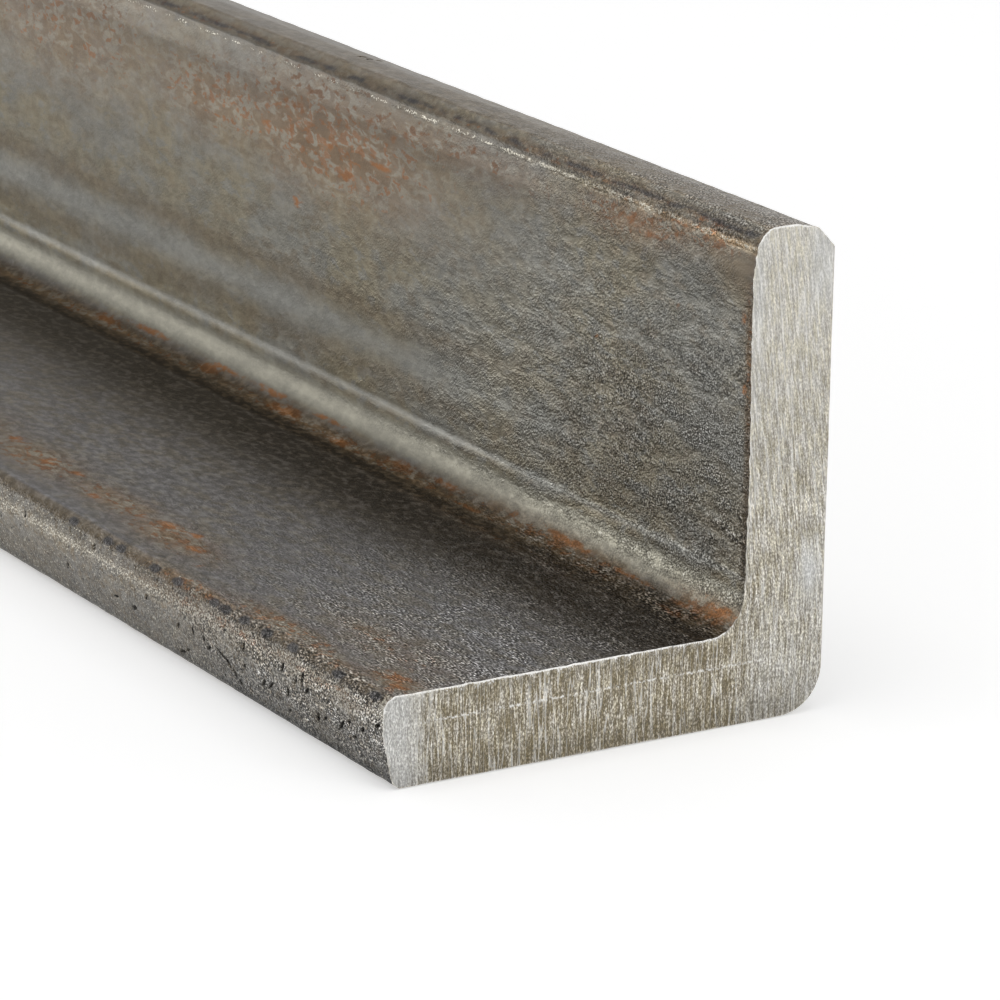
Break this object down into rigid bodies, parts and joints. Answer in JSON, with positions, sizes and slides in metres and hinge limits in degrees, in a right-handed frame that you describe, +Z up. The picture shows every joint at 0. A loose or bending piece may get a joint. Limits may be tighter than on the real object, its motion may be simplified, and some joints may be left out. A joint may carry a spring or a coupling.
{
  "type": "steel angle section",
  "caption": "Hot-rolled equal-leg steel angle bar, a square-cut length of L-section stock with a filleted root, a rounded heel and rolled toes.",
  "frame": {"origin": "under the middle of the bar, on the face that it lies on, halfway across the flat leg", "axes": "+X along the bar, +Y from the flat leg's toe towards the back face, +Z up the upright leg"},
  "size_m": [0.3048, 0.0508, 0.0508],
  "materials": {
    "hot_rolled_steel": "satin"
  },
  "bodies": {
    "root": {"steel_angle": "hot_rolled_steel"}
  },
  "joints": []
}
